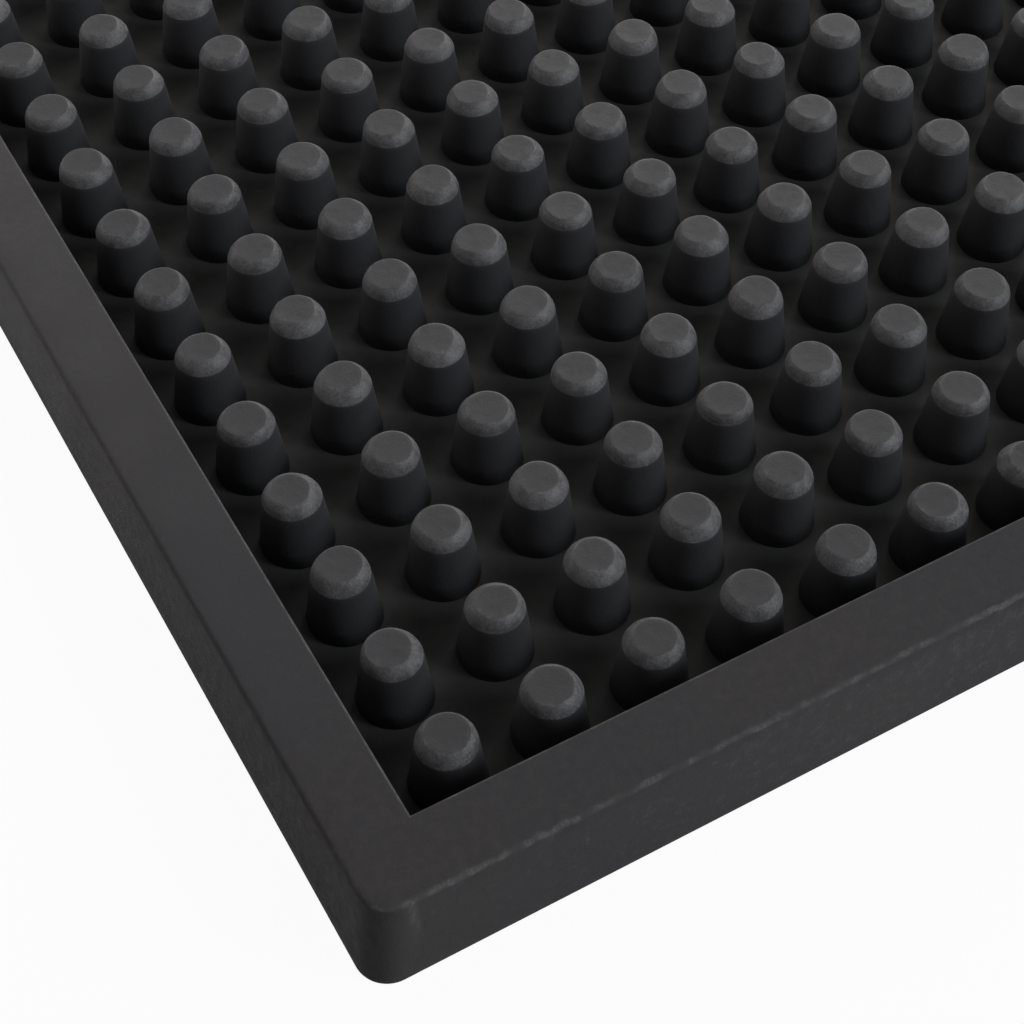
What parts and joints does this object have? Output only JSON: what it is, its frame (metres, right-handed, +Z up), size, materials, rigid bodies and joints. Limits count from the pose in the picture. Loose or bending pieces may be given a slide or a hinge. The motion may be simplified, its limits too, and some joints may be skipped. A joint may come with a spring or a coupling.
{
  "type": "rubber bar mat",
  "caption": "Rectangular rubber bar service mat: a shallow tray with a flat-topped raised border and rows of short round studs that hold glasses above spilled drink.",
  "frame": {"origin": "centre of the underside, on the counter", "axes": "+X along the long side, +Y along the short side, +Z up out of the tray"},
  "size_m": [0.45, 0.3, 0.01],
  "materials": {
    "border_rubber": "matt moulded black rubber",
    "floor_rubber": "matt moulded black rubber",
    "stud_rubber": "matt moulded black rubber, dusty on the caps"
  },
  "bodies": {
    "root": {"tray_floor": "floor_rubber", "border_front": "border_rubber", "border_back": "border_rubber", "border_left": "border_rubber", "border_right": "border_rubber", "stud_row_01": "stud_rubber", "stud_row_02": "stud_rubber", "stud_row_03": "stud_rubber", "stud_row_04": "stud_rubber", "stud_row_05": "stud_rubber", "stud_row_06": "stud_rubber", "stud_row_07": "stud_rubber", "stud_row_08": "stud_rubber", "stud_row_09": "stud_rubber", "stud_row_10": "stud_rubber", "stud_row_11": "stud_rubber", "stud_row_12": "stud_rubber", "stud_row_13": "stud_rubber", "stud_row_14": "stud_rubber", "stud_row_15": "stud_rubber", "stud_row_16": "stud_rubber", "stud_row_17": "stud_rubber", "stud_row_18": "stud_rubber", "stud_row_19": "stud_rubber", "stud_row_20": "stud_rubber", "stud_row_21": "stud_rubber", "stud_row_22": "stud_rubber", "stud_row_23": "stud_rubber", "stud_row_24": "stud_rubber", "stud_row_25": "stud_rubber", "stud_row_26": "stud_rubber", "stud_row_27": "stud_rubber", "stud_row_28": "stud_rubber"}
  },
  "joints": []
}
